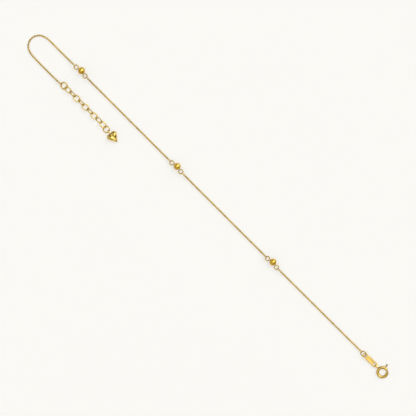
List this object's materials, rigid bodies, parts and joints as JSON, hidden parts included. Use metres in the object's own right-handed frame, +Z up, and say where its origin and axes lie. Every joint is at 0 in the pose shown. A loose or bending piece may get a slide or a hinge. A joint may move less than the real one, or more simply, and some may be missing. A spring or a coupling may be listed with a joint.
{
  "type": "beaded anklet",
  "caption": "Fine gold cable chain anklet, laid open, with faceted beads, a spring ring clasp on an oblong tag, and an extender of oval links with a puffed heart.",
  "frame": {"origin": "middle of the base of the open anklet's box, on the surface that it lies on", "axes": "+X along the main strand towards the clasp, +Y away from the extender, +Z up"},
  "size_m": [0.1998, 0.0156, 0.0028],
  "materials": {
    "chain_gold": "polished yellow gold wire",
    "bead_gold": "mirror polished flat facets in yellow gold",
    "heart_gold": "mirror polished cut facets in yellow gold",
    "clasp_gold": "polished yellow gold tube and plate"
  },
  "bodies": {
    "anklet": {"chain_strand_1": "chain_gold", "chain_strand_2": "chain_gold", "chain_strand_3": "chain_gold", "chain_strand_4": "chain_gold", "end_ring": "chain_gold", "extender_link_1": "chain_gold", "extender_link_2": "chain_gold", "extender_link_3": "chain_gold", "extender_link_4": "chain_gold", "extender_link_5": "chain_gold", "extender_link_6": "chain_gold", "extender_link_7": "chain_gold", "extender_link_8": "chain_gold", "extender_link_9": "chain_gold", "heart_ring": "chain_gold", "heart": "heart_gold", "bead_1": "bead_gold", "bead_2": "bead_gold", "bead_3": "bead_gold", "bead_pin_1": "bead_gold", "bead_pin_2": "bead_gold", "bead_pin_3": "bead_gold", "tag_ring": "clasp_gold", "tag": "clasp_gold", "spring_ring": "clasp_gold"},
    "trigger": {"trigger": "clasp_gold"}
  },
  "joints": [
    {"name": "trigger_turn", "type": "hinge", "parent": "anklet", "child": "trigger", "pos_m": [0.09741, 0.00411, 0.00057], "axis": [0, 0, 1], "range_deg": [0, 40], "stiffness_Nm_per_rad": 0.004}
  ]
}
